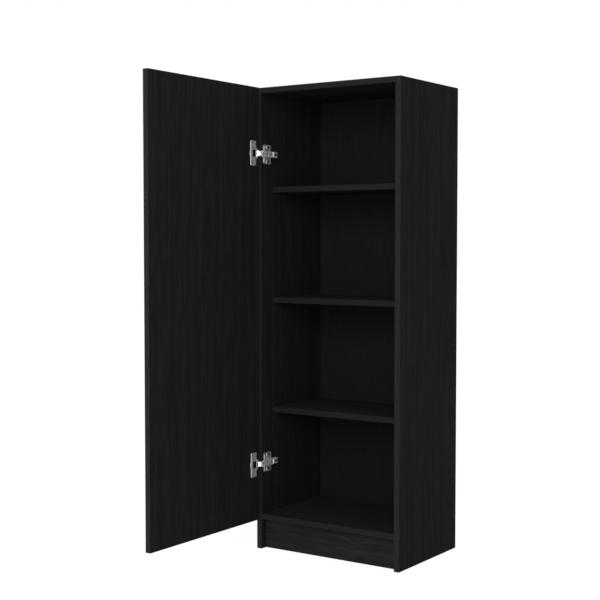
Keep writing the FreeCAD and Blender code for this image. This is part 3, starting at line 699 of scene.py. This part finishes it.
def cap_recipe():
    tree, group = new_recipe("cam cap", ("Radius", "Thickness"))
    rim_height = maths(tree, "MULTIPLY", group["Thickness"], 0.55)
    crown_height = maths(tree, "SUBTRACT", group["Thickness"], rim_height)
    top_radius = maths(tree, "SUBTRACT", group["Radius"], crown_height)
    rim = cone(tree, group["Radius"], group["Radius"], rim_height, 40)
    crown = moved_up(tree, cone(tree, group["Radius"], top_radius, crown_height, 40), rim_height)
    notch = add(tree, "GeometryNodeMeshCube", {"Size": (0.0016, 0.0026, 0.004)})
    at_rim = add(tree, "GeometryNodeTransform")
    place = add(tree, "ShaderNodeCombineXYZ")
    wire(tree, (group["Radius"], place.inputs["X"]), (place.outputs["Vector"], at_rim.inputs["Translation"]),
         (notch.outputs["Mesh"], at_rim.inputs["Geometry"]))
    merged = add(tree, "GeometryNodeMergeByDistance", {"Distance": 0.00001})
    solid = add(tree, "GeometryNodeMeshBoolean", operation="UNION")
    wire(tree, (rim, solid.inputs["Mesh 2"]), (crown, solid.inputs["Mesh 2"]),
         (solid.outputs["Mesh"], merged.inputs["Geometry"]))
    close_recipe(tree, group, cut_away(tree, merged.outputs["Geometry"], at_rim.outputs["Geometry"]))
    return tree


def cap_places(name):
    boxes = solids_of(name)
    low, high = boxes[0]
    places = []
    for low, high in boxes:
        places.append((Vector(((low.x + high.x) / 2, (low.y + high.y) / 2, high.z)), Vector((0, 0, -1))))
    return places, (high.x - low.x) / 2, high.z - low.z


places, radius, thickness = cap_places("cam_caps")
caps = repeat("cam_cover_caps", cap_recipe(), places, {"Radius": radius, "Thickness": thickness}, black_cap)
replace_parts(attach(caps, "carcass"), "cam_caps")

# %% [markdown]
# ## Fluted dowels
# A wooden dowel isn't a smooth rod: flutes along it let the glue and the air out, and both
# ends taper so that it finds its hole. The section is a star with many shallow points, swept
# along a straight line whose radius shrinks at the ends.

# %% Dowel recipe


def dowel_recipe():
    tree, group = new_recipe("dowel", ("Radius", "Length", "Taper"))
    half = maths(tree, "MULTIPLY", group["Length"], 0.5)
    line = add(tree, "GeometryNodeCurvePrimitiveLine")
    for sign, end in ((-1.0, "Start"), (1.0, "End")):
        point = add(tree, "ShaderNodeCombineXYZ")
        wire(tree, (maths(tree, "MULTIPLY", half, sign), point.inputs["Z"]), (point.outputs["Vector"], line.inputs[end]))
    steps = add(tree, "GeometryNodeResampleCurve", {"Count": 36}, mode="COUNT")
    along = add(tree, "GeometryNodeSplineParameter")
    from_end = maths(tree, "MINIMUM", along.outputs["Length"],
                     maths(tree, "SUBTRACT", group["Length"], along.outputs["Length"]))
    full = maths(tree, "MINIMUM", maths(tree, "DIVIDE", from_end, group["Taper"]), 1.0)
    share = maths(tree, "ADD", maths(tree, "MULTIPLY", full, 0.2), 0.8)
    narrow = add(tree, "GeometryNodeSetCurveRadius")
    star = add(tree, "GeometryNodeCurveStar", {"Points": 14})
    sweep = add(tree, "GeometryNodeCurveToMesh", {"Fill Caps": True})
    wire(tree, (line.outputs["Curve"], steps.inputs["Curve"]), (steps.outputs["Curve"], narrow.inputs["Curve"]),
         (share, narrow.inputs["Radius"]), (group["Radius"], star.inputs["Outer Radius"]),
         (maths(tree, "MULTIPLY", group["Radius"], 0.93), star.inputs["Inner Radius"]),
         (narrow.outputs["Curve"], sweep.inputs["Curve"]), (star.outputs["Curve"], sweep.inputs["Profile Curve"]))
    if "Scale" in sweep.inputs:
        wire(tree, (share, sweep.inputs["Scale"]))
    close_recipe(tree, group, sweep.outputs["Mesh"])
    return tree


dowel_boxes = solids_of("wooden_dowels")
places = [((low + high) / 2, Vector((1, 0, 0))) for low, high in dowel_boxes]
low, high = dowel_boxes[0]
sizes = {"Radius": (high.z - low.z) / 2, "Length": high.x - low.x, "Taper": 0.0016}
dowels = repeat("fluted_dowels", dowel_recipe(), places, sizes, beech_wood)
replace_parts(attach(dowels, "carcass"), "wooden_dowels")

# %% [markdown]
# ## Floor
# The cabinet stands on a plain pale floor. To the eye it should melt into a white
# background and still hold the soft shadow at the plinth. So the floor is an ordinary pale
# surface for the light that falls on the cabinet, and for a direct look it is mixed with
# plain white. The same mix is shown to mirrors, so that the hinges reflect a white room.

# %% Floor


def seen_directly(tree):
    """1 for what the eye, a mirror or glass looks at, and 0 for light that only falls on things."""
    path = add(tree, "ShaderNodeLightPath")
    return maths(tree, "MAXIMUM", path.outputs["Is Camera Ray"],
                 maths(tree, "MAXIMUM", path.outputs["Is Glossy Ray"], path.outputs["Is Transmission Ray"]))


def white_floor(name, whiteness):
    material = bpy.data.materials.new(name)
    material.use_nodes = True
    tree = material.node_tree
    tree.nodes.clear()
    place = add(tree, "ShaderNodeTexCoord")
    grain = add(tree, "ShaderNodeTexNoise", {"Scale": 6.0, "Detail": 3.0})
    pale = add(tree, "ShaderNodeBsdfDiffuse")
    white = add(tree, "ShaderNodeEmission", {"Color": (1.0, 1.0, 1.0, 1.0), "Strength": 1.19})
    blend = add(tree, "ShaderNodeMixShader")
    out = add(tree, "ShaderNodeOutputMaterial")
    wire(tree, (place.outputs["Object"], grain.inputs["Vector"]),
         (ramp(tree, grain.outputs["Fac"], [(0.3, (0.86, 0.86, 0.86)), (0.7, (0.88, 0.88, 0.88))]), pale.inputs["Color"]),
         (maths(tree, "MULTIPLY", seen_directly(tree), whiteness), blend.inputs["Fac"]),
         (pale.outputs["BSDF"], blend.inputs[1]), (white.outputs["Emission"], blend.inputs[2]),
         (blend.outputs["Shader"], out.inputs["Surface"]))
    return material


floor_mesh = bpy.data.meshes.new("floor")
reach = 30.0
floor_mesh.from_pydata([(-reach, -reach, 0), (reach, -reach, 0), (reach, reach, 0), (-reach, reach, 0)], [], [(0, 1, 2, 3)])
floor = bpy.data.objects.new("floor", floor_mesh)
floor_mesh.materials.append(white_floor("pale floor", 0.75))
bpy.context.scene.collection.objects.link(floor)
floor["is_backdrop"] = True
print("floor", 2 * reach, "m across")

# %% [markdown]
# ## Light
# Black furniture is hard to light: a small lamp makes a glaring spot and leaves the rest a
# hole. A pale room all round does most of the work here, and one wide soft box in front, a
# little to the right, gives it a direction. The door's inner face and the right side then
# read as the same even black, and the compartments fall off gently towards the back.

# %% Room light and soft box
ROOM_LIGHT = 0.63


def pale_room(strength):
    world = bpy.data.worlds.new("pale room")
    world.use_nodes = True
    tree = world.node_tree
    tree.nodes.clear()
    level = add(tree, "ShaderNodeMapRange", {"To Min": strength, "To Max": 1.0})
    sky = add(tree, "ShaderNodeBackground", {"Color": (1.0, 1.0, 1.0, 1.0)})
    out = add(tree, "ShaderNodeOutputWorld")
    wire(tree, (seen_directly(tree), level.inputs["Value"]), (level.outputs["Result"], sky.inputs["Strength"]),
         (sky.outputs["Background"], out.inputs["Surface"]))
    bpy.context.scene.world = world


def soft_box(name, place, target, size, power):
    light = bpy.data.lights.new(name, "AREA")
    light.shape = "SQUARE"
    light.size = size
    light.energy = power
    lamp = bpy.data.objects.new(name, light)
    lamp.location = place
    lamp.rotation_euler = (Vector(target) - Vector(place)).to_track_quat("-Z", "Y").to_euler()
    bpy.context.scene.collection.objects.link(lamp)
    print(name, "at", place, "with", power, "W")


pale_room(ROOM_LIGHT)
soft_box("front soft box", (1.5, -3.7, 1.7), (0.0, 0.0, 0.6), 2.4, 125.0)

# %% [markdown]
# ## Camera
# The view is from the right of the front, at a little below the middle of the door, with a
# long lens, so that uprights stay nearly parallel. The camera looks slightly down.

# %% Camera
camera_data = bpy.data.cameras.new("camera")
camera_data.sensor_width = 36.0
camera_data.lens = 73.18
camera = bpy.data.objects.new("camera", camera_data)
camera.location = (1.73797, -2.67226, 0.83114)
camera.rotation_euler = (math.radians(87.302), 0.0, math.radians(34.523))
bpy.context.scene.collection.objects.link(camera)
bpy.context.scene.camera = camera
bpy.context.scene.view_settings.view_transform = "Standard"
print("camera at", [round(v, 3) for v in camera.location])

# %% [markdown]
# The finished model must not outgrow the construction model, so the box round all that renders, floor aside, is
# printed.

# %% Sizes and finish
low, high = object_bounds()
print("visual box", [round(v, 4) for v in low], "to", [round(v, 4) for v in high])
